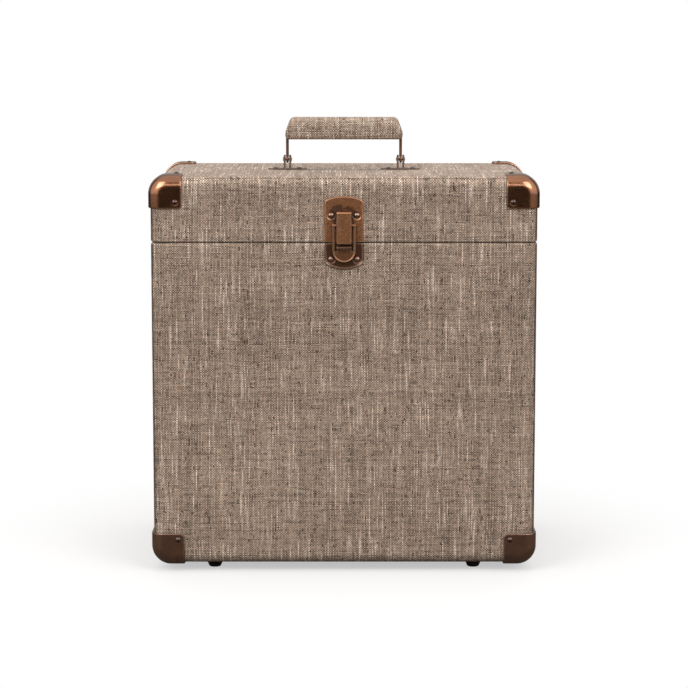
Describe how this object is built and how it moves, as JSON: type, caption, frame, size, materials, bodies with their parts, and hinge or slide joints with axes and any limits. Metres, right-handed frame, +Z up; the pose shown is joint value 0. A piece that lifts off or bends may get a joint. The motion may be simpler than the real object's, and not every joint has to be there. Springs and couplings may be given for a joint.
{
  "type": "record carrying case",
  "caption": "Cloth-covered carrying case for records with hinged lid, hasp latch, folding top handle, metal corner guards and rubber feet.",
  "frame": {"origin": "on the floor under the middle of the closed case", "axes": "+Z up, +X to the right seen from the front, -Y out of the front, where the latch is"},
  "size_m": [0.3624, 0.2212, 0.4204],
  "materials": {
    "board": "bare plywood",
    "cloth": "greige linen-look woven cloth with pale slubs and dark flecks",
    "lining": "matt dark paper lining",
    "copper": "antique copper, dark in its recesses and rubbed bright on its edges",
    "dark_copper": "dark antique copper, glossy",
    "rubber": "matt dark brown rubber",
    "steel": "plain screw steel"
  },
  "bodies": {
    "case": {"body_front_board": "board", "body_back_board": "board", "body_left_board": "board", "body_right_board": "board", "body_bottom_board": "board", "body_wrap_cloth": "cloth", "body_front_cloth": "cloth", "body_back_cloth": "cloth", "body_wall_lining": "lining", "body_floor_lining": "lining", "guard_bottom_front_left": "dark_copper", "guard_bottom_front_right": "dark_copper", "guard_bottom_back_left": "dark_copper", "guard_bottom_back_right": "dark_copper", "body_guard_rivets": "dark_copper", "foot_front_left": "rubber", "foot_front_right": "rubber", "foot_back_left": "rubber", "foot_back_right": "rubber", "foot_screws": "steel", "catch_plate": "copper", "catch_rivets": "dark_copper", "hinge_body_leaf_left": "dark_copper", "hinge_body_leaf_right": "dark_copper", "hinge_body_rivets": "dark_copper", "hinge_pin_left": "dark_copper", "hinge_pin_right": "dark_copper"},
    "lid": {"lid_front_board": "board", "lid_back_board": "board", "lid_left_board": "board", "lid_right_board": "board", "lid_top_board": "board", "lid_wrap_cloth": "cloth", "lid_front_cloth": "cloth", "lid_back_cloth": "cloth", "lid_wall_lining": "lining", "lid_top_lining": "lining", "guard_top_front_left": "dark_copper", "guard_top_front_right": "dark_copper", "guard_top_back_left": "dark_copper", "guard_top_back_right": "dark_copper", "lid_guard_rivets": "dark_copper", "latch_plate": "copper", "latch_strap": "copper", "latch_rivets": "dark_copper", "hinge_lid_leaf_left": "dark_copper", "hinge_lid_leaf_right": "dark_copper", "hinge_lid_rivets": "dark_copper", "handle_bracket_left": "copper", "handle_bracket_right": "copper", "handle_bracket_rivets": "copper", "handle_pivot_left": "dark_copper", "handle_pivot_right": "dark_copper"},
    "hasp": {"latch_hasp": "copper"},
    "handle": {"handle_bail": "copper", "grip_core": "board", "grip_cloth": "cloth"}
  },
  "joints": [
    {"name": "lid_hinge", "type": "hinge", "parent": "case", "child": "lid", "pos_m": [0, 0.108, 0.3095], "axis": [-1, 0, 0], "range_deg": [0, 175]},
    {"name": "hasp_hinge", "type": "hinge", "parent": "lid", "child": "hasp", "pos_m": [0, -0.1078, 0.3256], "axis": [-1, 0, 0], "range_deg": [0, 165]},
    {"name": "handle_hinge", "type": "hinge", "parent": "lid", "child": "handle", "pos_m": [0, 0, 0.3798], "axis": [1, 0, 0], "range_deg": [-82, 82]}
  ]
}
